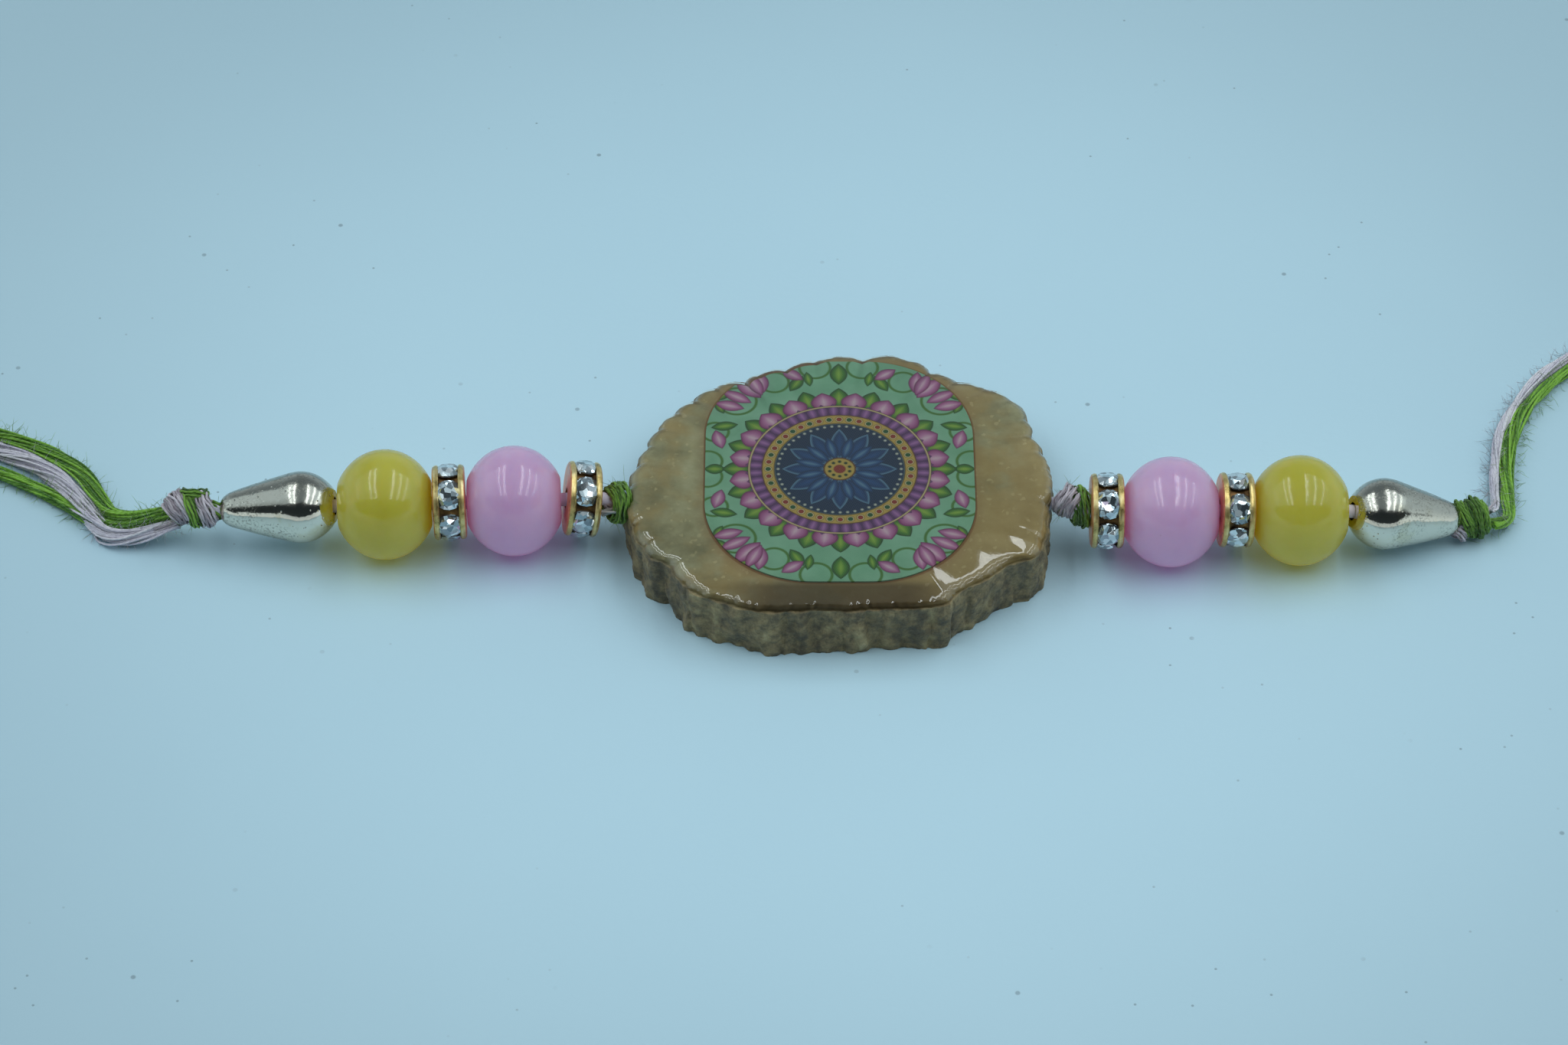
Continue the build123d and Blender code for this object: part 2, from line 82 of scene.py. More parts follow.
class Paint:
    """A node material in the making: each method adds a node and gives back its output."""

    def __init__(self, name, tree=None):
        if tree is None:
            self.material = bpy.data.materials.new(name)
            self.material.use_nodes = True
            tree = self.material.node_tree
            tree.nodes.clear()
        self.tree = tree
        self.where = self.node("TexCoord").outputs["Object"]    # in the row frame, in metres

    def put(self, socket, value):
        if isinstance(value, bpy.types.NodeSocket):
            self.tree.links.new(value, socket)
        elif socket.type == "RGBA" and len(value) == 3:
            socket.default_value = (*value, 1)
        else:
            socket.default_value = value

    def node(self, kind, *values, **settings):
        made = self.tree.nodes.new("ShaderNode" + kind)
        for name, value in settings.items():
            setattr(made, name, value)
        for socket, value in zip(made.inputs, values):
            self.put(socket, value)
        return made

    def math(self, operation, *values):
        return self.node("Math", *values, operation=operation).outputs[0]

    def times(self, first, second):
        return self.math("MULTIPLY", first, second)

    def plus(self, first, second):
        return self.math("ADD", first, second)

    def minus(self, first, second):
        return self.math("SUBTRACT", first, second)

    def size(self, value):
        return self.math("ABSOLUTE", value)

    def vector(self, operation, *values):
        made = self.node("VectorMath", *values, operation=operation)
        return made.outputs["Value" if operation in ("LENGTH", "DOT_PRODUCT") else "Vector"]

    def weigh(self, *pairs):
        """The sum of some values, each times its own weight."""
        terms = [self.times(value, weight) for value, weight in pairs]
        total = terms[0]
        for term in terms[1:]:
            total = self.plus(total, term)
        return total

    def fade(self, value, start, end):
        """A smooth step from 0 at start to 1 at end."""
        made = self.node("MapRange", value, start, end, 0, 1, interpolation_type="SMOOTHSTEP")
        return made.outputs[0]

    def mix(self, share, first, second):
        made = self.node("Mix", data_type="RGBA")
        for name, value in (("Factor_Float", share), ("A_Color", first), ("B_Color", second)):
            self.put(next(s for s in made.inputs if s.identifier == name), value)
        return next(s for s in made.outputs if s.identifier == "Result_Color")

    def stain(self, colour, other, share, most=1):
        """A colour with another over it, as strongly as most where share is 1."""
        return self.mix(self.times(share, most), colour, other)

    def ramp(self, value, *stops):
        made = self.node("ValToRGB", value)
        elements = made.color_ramp.elements
        while len(elements) < len(stops):
            elements.new(0.5)
        for element, (place, colour) in zip(elements, stops):
            element.position = place
            element.color = (*colour, 1)
        return made.outputs["Color"]

    def axes(self, vector):
        return tuple(self.node("SeparateXYZ", vector).outputs)

    def normal(self):
        return self.node("NewGeometry").outputs["Normal"]

    def noise(self, feature, detail=3, roughness=0.5, stretch=(1, 1, 1)):
        """Noise whose blotches are about as large as feature, in metres."""
        scaled = self.vector("MULTIPLY", self.where, tuple(1 / feature * s for s in stretch))
        made = self.node("TexNoise")
        values = {"Vector": scaled, "Scale": 1, "Detail": detail, "Roughness": roughness}
        for name, value in values.items():
            self.put(made.inputs[name], value)
        return made.outputs[0]

    def patches(self, feature, low, high, **kind):
        """Patches about as large as feature, which fade in between two levels of noise."""
        return self.fade(self.noise(feature, **kind), low, high)

    def cells(self, feature, output="Distance", flat=False):
        """Cells about as large as feature, in metres: how far the nearest middle is, or a tint."""
        scaled = self.vector("MULTIPLY", self.where, (1 / feature,) * 3)
        made = self.node("TexVoronoi", voronoi_dimensions="2D" if flat else "3D")
        self.put(made.inputs["Vector"], scaled)
        self.put(made.inputs["Scale"], 1)
        return made.outputs[output]

    def spots(self, feature, outer, inner, patch, low, high):
        """Round spots, one in each cell, only where larger patches are."""
        spot = self.fade(self.cells(feature), outer, inner)
        return self.times(spot, self.patches(patch, low, high))

    def bump(self, height, depth, strength=1, under=None):
        made = self.node("Bump")
        for name, value in (("Strength", strength), ("Distance", depth), ("Height", height)):
            self.put(made.inputs[name], value)
        if under is not None:
            self.put(made.inputs["Normal"], under)
        return made.outputs[0]

    def principled(self, **values):
        made = self.node("BsdfPrincipled")
        for name, value in values.items():
            self.put(made.inputs[name.replace("_", " ")], value)
        return made.outputs[0]

    def surface(self, **values):
        return self.finish(self.principled(**values))

    def mixed(self, share, first, second):
        return self.node("MixShader", share, first, second).outputs[0]

    def finish(self, shader, kind="OutputMaterial"):
        self.put(self.node(kind).inputs[0], shader)
        return getattr(self, "material", None)


def floor_paint():
    """Pale matt table with faint clouds, a little dust, and painted shade that darkens it away from
    the bracelet.
    """
    paint = Paint("table")
    cloud = paint.noise(0.09, detail=4)
    colour = paint.ramp(cloud, (0.3, (0.49, 0.69, 0.795)), (0.7, (0.52, 0.725, 0.83)))
    away = paint.vector("LENGTH", paint.vector("MULTIPLY", paint.where, (1, 1, 0)))
    # Painted shade: the table is stained darker the farther it lies from the bracelet.
    colour = paint.stain(colour, (0, 0, 0), paint.fade(away, 0.03, 0.105), 0.24)
    dusty = paint.patches(0.02, 0.52, 0.62)
    for spacing, size in ((0.0062, 0.016), (0.0131, 0.014)):
        speck = paint.fade(paint.cells(spacing, flat=True), 1.4 * size, 0.7 * size)
        colour = paint.stain(colour, (0.13, 0.17, 0.2), paint.times(speck, dusty), 0.55)
    grain = paint.noise(0.0006, detail=2)
    return paint.surface(
        Base_Color=colour, Roughness=0.55, Specular_IOR_Level=0.25,
        Normal=paint.bump(grain, 0.00004, 0.4),
    )


TABLE_HALF = 1.5
corners = [(x * TABLE_HALF, y * TABLE_HALF, 0) for x, y in ((-1, -1), (1, -1), (1, 1), (-1, 1))]
floor = bpy.data.objects.new("table", new_mesh(corners, [(0, 1, 2, 3)], smooth=False))
floor.data.materials.append(floor_paint())
scene.collection.objects.link(floor)

# Two ceiling windows either side of a dark gap, each a dim pane crossed by bright slats
WINDOW_ALONG = (-0.235, 0.27)
PANE_HEIGHT, SLAT_HEIGHT = 0.36, 0.358
PANE_RADIANCE, SLAT_RADIANCE = 0.62, 5.2
PANES = ((-0.75, -0.13), (0.085, 0.6))
SLATS = ((-0.152, 0.014), (-0.24, 0.012), (0.106, 0.016), (0.235, 0.014), (0.42, 0.014))


def lamp(name, across, height, radiance, colour):
    """A soft lamp that faces the table from a height, between two places across."""
    light = bpy.data.lights.new(name, "AREA")
    light.shape = "RECTANGLE"
    light.size, light.size_y = across[1] - across[0], WINDOW_ALONG[1] - WINDOW_ALONG[0]
    light.energy = radiance * pi * light.size * light.size_y
    light.color = colour
    made = bpy.data.objects.new(name, light)
    made.location = (sum(across) / 2, sum(WINDOW_ALONG) / 2, height)
    scene.collection.objects.link(made)


for number, across in enumerate(PANES):
    lamp(f"pane_{number}", across, PANE_HEIGHT, PANE_RADIANCE, (0.82, 0.96, 1))
for number, (middle, half) in enumerate(SLATS):
    across = (middle - half, middle + half)
    lamp(f"slat_{number}", across, SLAT_HEIGHT, SLAT_RADIANCE, (0.92, 0.98, 1))

# The room: pale walls at the sides, a dim ceiling, and a dark band in front
world = bpy.data.worlds.new("world")
world.use_nodes = True
world.node_tree.nodes.clear()
scene.world = world
air = Paint("air", world.node_tree)
across, ahead, height = air.axes(air.node("TexCoord").outputs["Generated"])
room = air.ramp(
    height, (0, (0.52, 0.62, 0.66)), (0.22, (0.42, 0.5, 0.54)), (0.5, (0.2, 0.245, 0.27)),
    (0.75, (0.17, 0.21, 0.23)), (1, (0.24, 0.29, 0.31)),
)
walls = air.fade(air.size(across), 0.55, 0.85)
walls = air.times(walls, air.fade(height, 0.75, 0.45))
room = air.mix(walls, room, (0.62, 0.75, 0.8))
front = air.fade(ahead, -0.12, -0.28)
band = air.times(air.fade(height, 0.2, 0.25), air.fade(height, 0.875, 0.83))
room = air.mix(air.times(front, band), room, (0.022, 0.03, 0.034))
air.finish(air.node("Background", room).outputs[0], "OutputWorld")


# Finishes

PLY_PITCH = 0.0011


def floss_paint(name, dark, lit):
    """Stranded cotton: fine twisted plies along each strand, with a tint for each strand."""
    paint = Paint(name)
    along, around, _ = paint.axes(paint.node("UVMap", uv_map="strand").outputs[0])
    turn = paint.plus(paint.times(along, 1 / PLY_PITCH), around)
    ply, fibre = (paint.math("SINE", paint.times(turn, TURN * count)) for count in (2, 9))
    ridge = paint.weigh((ply, 0.7), (fibre, 0.3))
    tint = paint.node("Attribute", attribute_name="tint").outputs["Fac"]
    blotch = paint.minus(paint.noise(0.0012), 0.5)
    # The ply ridge also darkens the grooves between the plies a little: painted shade, besides the
    # bump.
    share = paint.weigh((ridge, 0.16), (tint, 1), (blotch, 0.5))
    return paint.surface(
        Base_Color=paint.mix(share, dark, lit), Roughness=0.72, Specular_IOR_Level=0.3,
        Sheen_Weight=0.25, Sheen_Roughness=0.4, Normal=paint.bump(ridge, 0.00007, 0.8),
    )


green_floss = floss_paint("green_floss", (0.035, 0.15, 0.01), (0.34, 0.7, 0.07))
pink_floss = floss_paint("pink_floss", (0.7, 0.66, 0.8), (0.98, 0.95, 1))
# Darker copies of the two floss finishes for the knots and end ties: painted shade of their tight
# turns.
shaded_knot_green = floss_paint("tied_green_floss", (0.022, 0.09, 0.007), (0.27, 0.54, 0.06))
shaded_knot_pink = floss_paint("tied_pink_floss", (0.36, 0.3, 0.35), (0.84, 0.77, 0.84))


def nylon_paint():
    """Clear nylon line: a pale tint and a strong gloss."""
    paint = Paint("nylon")
    haze = paint.noise(0.001, detail=2)
    return paint.surface(
        Base_Color=paint.ramp(haze, (0.3, (0.3, 0.36, 0.36)), (0.7, (0.52, 0.58, 0.58))),
        Roughness=0.18, IOR=1.5, Coat_Weight=0.6,
    )


nylon = nylon_paint()

# Shares of light: what the beads' glass scatters onward, and what their shadows let through
GLOW_SHARE = 0.22
SHADOW_LIGHT = 0.72


def bead_paint(name, body, deep, tinge, glow, spread):
    """Milky glass: soft clouds, a few flecks and pale stains, with light spread inside.

    Glow is the colour of the light that passes right through, and spread is how far each of red,
    green and blue travels under the skin.
    """
    paint = Paint(name)
    cloud = paint.patches(0.0045, 0.35, 0.7, detail=4, roughness=0.55)
    colour = paint.mix(cloud, body, deep)
    fleck = paint.spots(0.0014, 0.1, 0.04, 0.004, 0.6, 0.66)
    colour = paint.stain(colour, (0.25, 0.1, 0.04), fleck, 0.5)
    colour = paint.stain(colour, tinge, paint.patches(0.0026, 0.56, 0.72, detail=2), 0.22)
    skin = paint.principled(
        Base_Color=colour, Roughness=0.13, IOR=1.5, Subsurface_Weight=1,
        Subsurface_Radius=spread, Subsurface_Scale=0.008, Coat_Weight=0.25, Coat_Roughness=0.16,
        Normal=paint.bump(paint.noise(0.003), 0.00004, 0.5),
    )
    glass = paint.mixed(GLOW_SHARE, skin, paint.node("BsdfTranslucent", glow).outputs[0])
    passing = paint.times(paint.node("LightPath").outputs["Is Shadow Ray"], SHADOW_LIGHT)
    clear = paint.node("BsdfTransparent", glow).outputs[0]
    return paint.finish(paint.mixed(passing, glass, clear))


PIT_DEPTH = 0.00006


def silver_paint():
    """Silver plate: fine pits, soft stains, worn patches, and on what faces up a painted grey-blue
    shade, rougher there too.
    """
    paint = Paint("silver_plate")
    cloud = paint.noise(0.0022, detail=5, roughness=0.6)
    colour = paint.mix(paint.fade(cloud, 0.5, 0.68), (0.77, 0.72, 0.61), (0.68, 0.62, 0.47))
    pits = paint.spots(0.00042, 0.2, 0.05, 0.0018, 0.46, 0.6)
    colour = paint.stain(colour, (0.12, 0.1, 0.07), pits, 0.6)
    speck = paint.times(
        paint.patches(0.0002, 0.5, 0.62, roughness=0.65),
        paint.patches(0.003, 0.4, 0.56),
    )
    upward = paint.axes(paint.normal())[2]
    # Painted shade: what faces up is stained darker grey-blue, and it is rougher there too.
    top_shade_and_dulling = paint.fade(upward, 0.45, 0.8)
    colour = paint.stain(colour, (0.17, 0.2, 0.2), top_shade_and_dulling, 0.56)
    colour = paint.stain(colour, (0.16, 0.16, 0.14), speck, 0.55)
    rough = paint.plus(paint.weigh((cloud, 0.1), (speck, 0.22), (top_shade_and_dulling, 0.11)), 0.01)
    wave = paint.bump(paint.noise(0.0007), PIT_DEPTH / 2, 0.6)
    return paint.surface(
        Base_Color=colour, Metallic=1, Roughness=rough,
        Normal=paint.bump(pits, -PIT_DEPTH, 1, wave),
    )


# Frame nodes that keep their shape

def dress(node, material, sharpest=180):
    """Give a frame node a finish, with sharp edges where its faces turn by more than an angle."""
    piece = nodes[node]
    piece.data.materials.clear()
    piece.data.materials.append(material)
    for face in piece.data.polygons:
        face.use_smooth = True
    if sharpest < 180:
        piece.data.set_sharp_from_angle(angle=radians(sharpest))


pink_glass = bead_paint(
    "pink_glass", body=(0.63, 0.46, 0.67), deep=(0.57, 0.4, 0.62), tinge=(0.69, 0.43, 0.57),
    glow=(0.95, 0.5, 0.7), spread=(1, 0.66, 0.6),
)
yellow_glass = bead_paint(
    "yellow_glass", body=(0.51, 0.5, 0.092), deep=(0.45, 0.44, 0.062), tinge=(0.53, 0.42, 0.05),
    glow=(0.95, 0.74, 0.05), spread=(1, 0.72, 0.25),
)
silver_plate = silver_paint()


def centre_of(node):
    low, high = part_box(node)
    return (low + high) / 2


class Wheel:
    """Where a spacer wheel sits, its stones, and the directions of its hub and spokes."""

    def __init__(self, side, place):
        self.name = f"{side}_{place}"
        self.middle = centre_of(f"{self.name}_rondelle")
        self.stones = [f"{self.name}_rhinestone_{k}" for k in range(1, 7)]
        self.spokes = [(centre_of(stone) - self.middle).normalized() for stone in self.stones]
        self.hub = self.spokes[0].cross(self.spokes[1]).normalized()


def wheel_paint(wheel):
    """Worn gold plate on the rims, copper where the flat sides show."""
    paint = Paint(f"{wheel.name}_plate")
    normal = paint.normal()
    facing = paint.size(paint.vector("DOT_PRODUCT", normal, tuple(wheel.hub)))
    cloud = paint.noise(0.0011, detail=5, roughness=0.6)
    gold = paint.ramp(
        cloud, (0.34, (0.33, 0.24, 0.08)), (0.5, (0.68, 0.51, 0.2)), (0.7, (0.84, 0.71, 0.4)),
    )
    copper = paint.ramp(
        cloud, (0.34, (0.46, 0.17, 0.06)), (0.55, (0.8, 0.33, 0.13)), (0.72, (0.88, 0.47, 0.24)),
    )
    flat_side = paint.fade(facing, 0.78, 0.93)
    spot = paint.spots(0.0007, 0.16, 0.06, 0.0016, 0.5, 0.6)
    colour = paint.stain(paint.mix(flat_side, gold, copper), (0.03, 0.02, 0.01), spot, 0.7)
    return paint.surface(
        Base_Color=colour, Metallic=paint.minus(0.85, paint.times(flat_side, 0.35)),
        Roughness=paint.plus(paint.times(cloud, 0.25), 0.18),
        Normal=paint.bump(cloud, 0.00006, 0.7),
    )


wheels = [Wheel(side, place) for side in ("left", "right") for place in ("inner", "outer")]
for side in ("left", "right"):
    for node, material, slot in (
        ("pink_bead", pink_glass, "pink_glass"), ("yellow_bead", yellow_glass, "yellow_glass"),
        ("teardrop", silver_plate, "silver_plate"),
    ):
        dress(f"{side}_{node}", material, 40)
for wheel in wheels:
    dress(f"{wheel.name}_rondelle", wheel_paint(wheel), 35)
dress("stringing_thread", pink_floss)


def add_piece(name, mesh, materials, slot, *replaced):
    """A new piece of the object, in place of the frame nodes named."""
    mesh.name = name
    piece = bpy.data.objects.new(name, mesh)
    for material in materials:
        mesh.materials.append(material)
    scene.collection.objects.link(piece)
    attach(piece, "root")
    if replaced:
        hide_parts(*replaced)
    return piece


# Floss

GREEN, PINK, NYLON = 0, 1, 2
STRAND_RADIUS = 0.0001


def run_along(points):
    """How far along the line each of its points lies."""
    return np.concatenate([[0], np.cumsum(np.linalg.norm(np.diff(points, axis=0), axis=1))])


class Yarn:
    """Round strands gathered into one mesh, each with its own tint and finish."""

    def __init__(self):
        self.points, self.faces, self.uvs, self.tints, self.slots = [], [], [], [], []

    def strand(
        self, path, radius, slot=0, tint=None, sides=6, closed=False, tips=(1, 1),
        floor=STRAND_RADIUS,
    ):
        """A tube round a line of points, none of them lower than floor.

        Its slot is the place of its finish among the piece's finishes, and its tips are its end
        radii as shares of its radius.
        """
        path = np.array(path, float)
        path[:, 2] = np.maximum(path[:, 2], floor)
        count = len(path)
        ahead = np.roll(path, -1, 0) - np.roll(path, 1, 0)
        if not closed:
            ahead[0], ahead[-1] = path[1] - path[0], path[-1] - path[-2]
        ahead /= np.linalg.norm(ahead, axis=1)[:, None]
        across = np.cross(ahead[0], (0, 0, 1) if abs(ahead[0][2]) < 0.9 else (1, 0, 0))
        frames = []
        for direction in ahead:
            across = across - direction * (across @ direction)
            across /= np.linalg.norm(across)
            frames.append((across, np.cross(direction, across)))
        run = run_along(path)
        step = run[-1] / (count - 1)
        taper = np.interp(run / run[-1], (0, 0.12, 0.88, 1), (tips[0], 1, 1, tips[1]))
        first = len(self.points)
        turn = TURN * np.arange(sides) / sides
        for place, (across, up), width in zip(path, frames, taper):
            ring = np.outer(np.cos(turn), across) + np.outer(np.sin(turn), up)
            self.points.extend(place + ring * radius * width)
        tint = random.uniform(0.3, 0.7) if tint is None else tint
        self.tints.extend([tint] * (count * sides))
        for i in range(count if closed else count - 1):
            here, after = first + i * sides, first + (i + 1) % count * sides
            start, end = run[i], run[i + 1] if i + 1 < count else run[i] + step
            for a in range(sides):
                b = (a + 1) % sides
                self.faces.append((here + a, here + b, after + b, after + a))
                low, high = a / sides, (a + 1) / sides
                self.uvs.extend([(start, low), (start, high), (end, high), (end, low)])
                self.slots.append(slot)
        if not closed:
            for ring_start, flip in ((first, True), (first + (count - 1) * sides, False)):
                cap = list(range(ring_start, ring_start + sides))
                self.faces.append(tuple(reversed(cap)) if flip else tuple(cap))
                self.uvs.extend([(0, 0)] * sides)
                self.slots.append(slot)

    def mesh(self):
        made = new_mesh(self.points, self.faces)
        made.uv_layers.new(name="strand").data.foreach_set("uv", np.array(self.uvs).ravel())
        made.attributes.new("tint", "FLOAT", "POINT").data.foreach_set("value", self.tints)
        made.polygons.foreach_set("material_index", self.slots)
        return made


def smooth_line(route, step=0.0004):
    """Points along the NURBS line that has a route for its control points."""
    curve = bpy.data.curves.new("route", "CURVE")
    curve.dimensions = "3D"
    spline = curve.splines.new("NURBS")
    spline.points.add(len(route) - 1)
    for point, place in zip(spline.points, route):
        point.co = (*place, 1)
    spline.order_u = 3
    spline.use_endpoint_u = True
    spline.resolution_u = 24
    holder = bpy.data.objects.new("route", curve)
    line = bpy.data.meshes.new_from_object(holder)
    points = np.array([v.co for v in line.vertices])
    bpy.data.objects.remove(holder)
    bpy.data.meshes.remove(line)
    run = run_along(points)
    even = np.linspace(0, run[-1], max(2, int(run[-1] / step)))
    return np.stack([np.interp(even, run, points[:, k]) for k in range(3)], 1)


def ripple(x, y, z):
    """Smooth noise at a place, from about -0.5 to 0.5."""
    return noise.noise(Vector((x, y, z)))


def wander(seed, share):
    """A smooth random number from about -1 to 1 along a strand."""
    return ripple(share, seed * 7.31, seed * 1.7) * 1.8


GOLDEN_ANGLE = 2.399963
FIBRE_RADIUS = 0.000014
FIBRE_FLOOR = 0.00006     # no fibre lies lower than this over the table
TWIST_PITCH = 0.03        # a tail's length for one full twist
TAIL_HEIGHT = 0.72        # height of a tail's bundle, of its width
LOOSE_AFTER = 0.007       # a tail is tight where it leaves its knot and loose from here on


def spread_out(count):
    """An angle and a share of the radius for each of count strands, spread evenly in a round."""
    for number in range(count):
        yield number * GOLDEN_ANGLE, sqrt((number + 0.5) / count)


def lay_bundle(yarn, path, strands, spread, aside):
    """Lay loosely twisted strands along a line or aside of it."""
    phase = random.random()
    path = np.asarray(path)
    ahead = np.gradient(path, axis=0)
    ahead /= np.linalg.norm(ahead, axis=1)[:, None]
    across = np.cross(ahead, (0, 0, 1))
    across /= np.linalg.norm(across, axis=1)[:, None]
    upward = np.cross(across, ahead)
    run = run_along(path)
    for turn, depth in spread_out(strands):
        seed = random.uniform(0, 50)
        line = []
        for place, side, top, s in zip(path, across, upward, run):
            loose = min(s / LOOSE_AFTER, 1)
            angle = turn + TURN * (phase + s / TWIST_PITCH) + wander(seed, s / 0.01)
            reach = spread * (0.6 + 0.4 * loose) * depth * (1 + 0.36 * wander(seed + 9, s / 0.006))
            point = place + reach * (cos(angle) * side + TAIL_HEIGHT * sin(angle) * top)
            line.append(point + side * aside * loose)
        yarn.strand(line, STRAND_RADIUS, tint=random.uniform(0.1, 0.95))


def add_fuzz(yarn, points, count, length, clear=0.0006):
    """Stray fibres of the piece's first finish, in loose curves that start clear of the points."""
    points = np.asarray(points)
    for _ in range(count):
        start = Vector(points[random.randrange(len(points))])
        way, bend = (Vector([random.gauss(0, 1) for _ in range(3)]).normalized() for _ in range(2))
        size = length * random.uniform(0.3, 1)
        line = []
        for t in np.linspace(0, 1, 5):
            line.append(start + way * (clear + size * t) + bend * (size * 0.6 * t * t))
        tint = random.uniform(0.5, 0.9)
        yarn.strand(line, FIBRE_RADIUS, tint=tint, sides=3, tips=(1, 0.3), floor=FIBRE_FLOOR)


# Each tail's number of strands, how wide they spread, how far aside they lie, and the route from
# the outer knot to the end knot
Tail = namedtuple("Tail", "strands spread aside route")
tail_plans = {
    "left_green_tail": Tail(26, 0.00062, 0, [
        (-0.0545, -0.001, 0.00295), (-0.0575, -0.0009, 0.0016), (-0.0604, -0.0001, 0.0007),
        (-0.0617, 0.0022, 0.0007), (-0.0632, 0.0052, 0.0007), (-0.0664, 0.0079, 0.0007),
        (-0.0709, 0.0101, 0.0007), (-0.0767, 0.0116, 0.0007), (-0.0842, 0.0123, 0.0007),
        (-0.0918, 0.0114, 0.0007), (-0.0992, 0.0093, 0.0007), (-0.1059, 0.0082, 0.0008),
        (-0.1111, 0.0085, 0.0017),
    ]),
    "left_pink_tail": Tail(36, 0.0008, 0, [
        (-0.0545, -0.002, 0.002), (-0.0574, -0.0025, 0.0012), (-0.0603, -0.0024, 0.00065),
        (-0.062, -0.0004, 0.00065), (-0.0636, 0.0024, 0.00065), (-0.0661, 0.0056, 0.00065),
        (-0.0706, 0.0081, 0.00065), (-0.0765, 0.0099, 0.00065), (-0.0841, 0.0106, 0.00065),
        (-0.0915, 0.0097, 0.00065), (-0.0988, 0.0076, 0.00065), (-0.1057, 0.0065, 0.00075),
        (-0.1111, 0.0069, 0.0017),
    ]),
    "left_split_tail": Tail(24, 0.00056, 0, [
        (-0.0545, -0.0013, 0.0024), (-0.0575, -0.0016, 0.0014), (-0.06, -0.0012, 0.0006),
        (-0.0623, -0.0002, 0.00055), (-0.0646, 0.0019, 0.00055), (-0.0669, 0.0034, 0.00055),
        (-0.0703, 0.0055, 0.00055), (-0.0766, 0.0078, 0.00055), (-0.0841, 0.0086, 0.00055),
        (-0.0916, 0.0078, 0.00055), (-0.0989, 0.006, 0.00055), (-0.1058, 0.0058, 0.0007),
        (-0.1111, 0.0074, 0.0014),
    ]),
    "right_green_tail": Tail(24, 0.00056, -0.00032, [
        (0.05405, -0.0017, 0.0015), (0.0556, -0.0009, 0.0009), (0.056, 0.0023, 0.0007),
        (0.0563, 0.0058, 0.0007), (0.0571, 0.0098, 0.0007), (0.0588, 0.0135, 0.0007),
        (0.063, 0.0183, 0.0007), (0.0693, 0.0217, 0.0007), (0.0768, 0.0226, 0.0007),
        (0.0842, 0.0206, 0.0007), (0.0917, 0.0169, 0.0007), (0.0996, 0.015, 0.0007),
        (0.1063, 0.0158, 0.0008), (0.1113, 0.017, 0.0017),
    ]),
    "right_pink_tail": Tail(18, 0.00044, 0.0001, [
        (0.0541, -0.0005, 0.0021), (0.0545, 0.0007, 0.0011), (0.0546, 0.0034, 0.00065),
        (0.055, 0.0068, 0.00065), (0.0559, 0.0105, 0.00065), (0.0577, 0.0144, 0.00065),
        (0.062, 0.0195, 0.00065), (0.0685, 0.0233, 0.00065), (0.0766, 0.0243, 0.00065),
        (0.0847, 0.0222, 0.00065), (0.0922, 0.0185, 0.00065), (0.0996, 0.0167, 0.00065),
        (0.1061, 0.0174, 0.00075), (0.1112, 0.0186, 0.0017),
    ]),
}
TAIL_FIBRES = 1300
TAIL_FIBRE_LENGTH = 0.0011
tail_lines = {name: smooth_line(plan.route) for name, plan in tail_plans.items()}
for name, plan in tail_plans.items():
    yarn = Yarn()
    lay_bundle(yarn, tail_lines[name], plan.strands, plan.spread, plan.aside)
    add_fuzz(yarn, tail_lines[name], TAIL_FIBRES, TAIL_FIBRE_LENGTH)
    colour, paint = ("pink", pink_floss) if "pink" in name else ("green", green_floss)
    replaced = [name] if name in nodes else []
    add_piece(f"{name}_floss", yarn.mesh(), [paint], f"{colour}_floss", *replaced)


# Knots

RIGHT = Vector((1, 0, 0))
RISING = Vector((0, 1, 1)).normalized()
NEAR = Vector((0, -1, 1)).normalized()
STRAND_STEP = 2 * STRAND_RADIUS
KNOT_FIBRES = 150
KNOT_FIBRE_LENGTH = 0.0012
knot_paints = [shaded_knot_green, shaded_knot_pink, nylon]

# Turns of floss side by side, in millimetres and degrees, from the middle of the knot: right and
# rising place them, lean tips their tops to the left, height and depth are half of their loop, and
# bow pushes their near half to the right.
Strap = namedtuple("Strap", "right rising lean height depth bow strands colour", defaults=(PINK,))

# A bundle between two such places, with its half thickness at each end
Neck = namedtuple("Neck", "start end thick thin strands colour")


def tie_strap(yarn, middle, strap):
    """Closed turns of floss in two layers, the outer ones of each a little shorter."""
    lean = radians(strap.lean)
    tall = RISING * cos(lean) - RIGHT * sin(lean)
    wide = RIGHT * cos(lean) + RISING * sin(lean)
    centre = middle + (RIGHT * strap.right + RISING * strap.rising) * MM
    half = max(1, (strap.strands - 1) / 2)
    for number in range(2 * strap.strands - 1):
        offset = (number - strap.strands + 1) / 2
        under = 0.14 * (number % 2)
        shorter = 1 - 0.16 * (offset / half) ** 2
        seed = random.uniform(0, 90)
        line = []
        for turn in np.linspace(0, TURN, 40, endpoint=False):
            up, near = cos(turn), sin(turn)
            drift = 0.26 * ripple(up * 1.2, near * 1.2, seed)
            swell = 1 + 0.2 * ripple(up, near, seed + 40)
            aside = offset * STRAND_STEP / MM + strap.bow * near + drift
            point = centre + (
                tall * ((strap.height * shorter * swell - under) * up)
                + NEAR * ((strap.depth * shorter * swell - under) * near) + wide * aside
            ) * MM
            line.append(point)
        tint = random.uniform(0.05, 0.95)
        yarn.strand(line, STRAND_RADIUS, strap.colour, tint=tint, closed=True)


